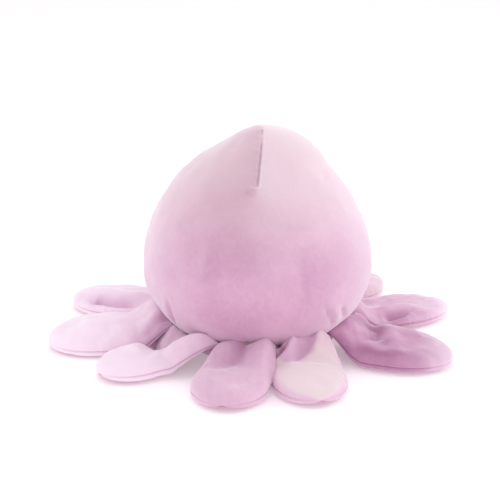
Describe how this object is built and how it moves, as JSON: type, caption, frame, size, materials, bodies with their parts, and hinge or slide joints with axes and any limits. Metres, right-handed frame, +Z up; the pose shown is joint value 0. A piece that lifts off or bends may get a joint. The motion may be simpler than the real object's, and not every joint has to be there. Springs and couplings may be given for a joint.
{
  "type": "plush octopus",
  "caption": "Stuffed plush octopus toy with an egg-shaped velour mantle and a ring of flat, softly filled tentacles sewn to its base seam.",
  "frame": {"origin": "on the floor under the mantle's axis, at the middle of the base panel's flat disc", "axes": "+Z up along the mantle's axis; the stitched face looks towards +Y and the plain back towards -Y; +X is the toy's own right-hand side"},
  "size_m": [0.3995, 0.3191, 0.2184],
  "materials": {
    "lilac_velboa": "short-pile velour with a soft nap",
    "rose_velboa": "short-pile velour with a soft nap",
    "fibre_fill": "loose polyester fibre",
    "dark_thread": "satin-stitched thread"
  },
  "bodies": {
    "mantle": {"mantle_back_panel": "lilac_velboa", "mantle_front_panel": "lilac_velboa", "base_panel": "rose_velboa", "base_seam_ring": "rose_velboa", "mantle_stuffing": "fibre_fill", "eye_stitching_right": "dark_thread", "eye_stitching_left": "dark_thread", "mouth_stitching": "dark_thread"},
    "tentacle_1": {"tentacle_1_top_panel": "lilac_velboa", "tentacle_1_under_panel": "rose_velboa", "tentacle_1_filling": "fibre_fill"},
    "tentacle_2": {"tentacle_2_top_panel": "lilac_velboa", "tentacle_2_under_panel": "rose_velboa", "tentacle_2_filling": "fibre_fill"},
    "tentacle_3": {"tentacle_3_top_panel": "lilac_velboa", "tentacle_3_under_panel": "rose_velboa", "tentacle_3_filling": "fibre_fill"},
    "tentacle_4": {"tentacle_4_top_panel": "lilac_velboa", "tentacle_4_under_panel": "rose_velboa", "tentacle_4_filling": "fibre_fill"},
    "tentacle_5": {"tentacle_5_top_panel": "lilac_velboa", "tentacle_5_under_panel": "rose_velboa", "tentacle_5_filling": "fibre_fill"},
    "tentacle_6": {"tentacle_6_top_panel": "lilac_velboa", "tentacle_6_under_panel": "rose_velboa", "tentacle_6_filling": "fibre_fill"},
    "tentacle_7": {"tentacle_7_top_panel": "lilac_velboa", "tentacle_7_under_panel": "rose_velboa", "tentacle_7_filling": "fibre_fill"},
    "tentacle_8": {"tentacle_8_top_panel": "lilac_velboa", "tentacle_8_under_panel": "rose_velboa", "tentacle_8_filling": "fibre_fill"}
  },
  "joints": [
    {"name": "tentacle_1_lift", "type": "hinge", "parent": "mantle", "child": "tentacle_1", "pos_m": [-0.0725, 0.04899, 0.022], "axis": [0.5599, 0.8285, 0], "range_deg": [-45, 35]},
    {"name": "tentacle_2_lift", "type": "hinge", "parent": "mantle", "child": "tentacle_2", "pos_m": [-0.08726, -0.00648, 0.022], "axis": [-0.0741, 0.9973, 0], "range_deg": [-45, 35]},
    {"name": "tentacle_3_lift", "type": "hinge", "parent": "mantle", "child": "tentacle_3", "pos_m": [-0.06446, -0.05917, 0.022], "axis": [-0.6762, 0.7367, 0], "range_deg": [-45, 35]},
    {"name": "tentacle_4_lift", "type": "hinge", "parent": "mantle", "child": "tentacle_4", "pos_m": [-0.01391, -0.08639, 0.022], "axis": [-0.9873, 0.159, 0], "range_deg": [-45, 35]},
    {"name": "tentacle_5_lift", "type": "hinge", "parent": "mantle", "child": "tentacle_5", "pos_m": [0.04262, -0.07642, 0.022], "axis": [-0.8733, -0.4871, 0], "range_deg": [-45, 35]},
    {"name": "tentacle_6_lift", "type": "hinge", "parent": "mantle", "child": "tentacle_6", "pos_m": [0.08081, -0.03356, 0.022], "axis": [-0.3835, -0.9235, 0], "range_deg": [-45, 35]},
    {"name": "tentacle_7_lift", "type": "hinge", "parent": "mantle", "child": "tentacle_7", "pos_m": [0.08421, 0.02375, 0.022], "axis": [0.2714, -0.9625, 0], "range_deg": [-45, 35]},
    {"name": "tentacle_8_lift", "type": "hinge", "parent": "mantle", "child": "tentacle_8", "pos_m": [0.05137, 0.07083, 0.022], "axis": [0.8095, -0.5871, 0], "range_deg": [-45, 35]}
  ]
}
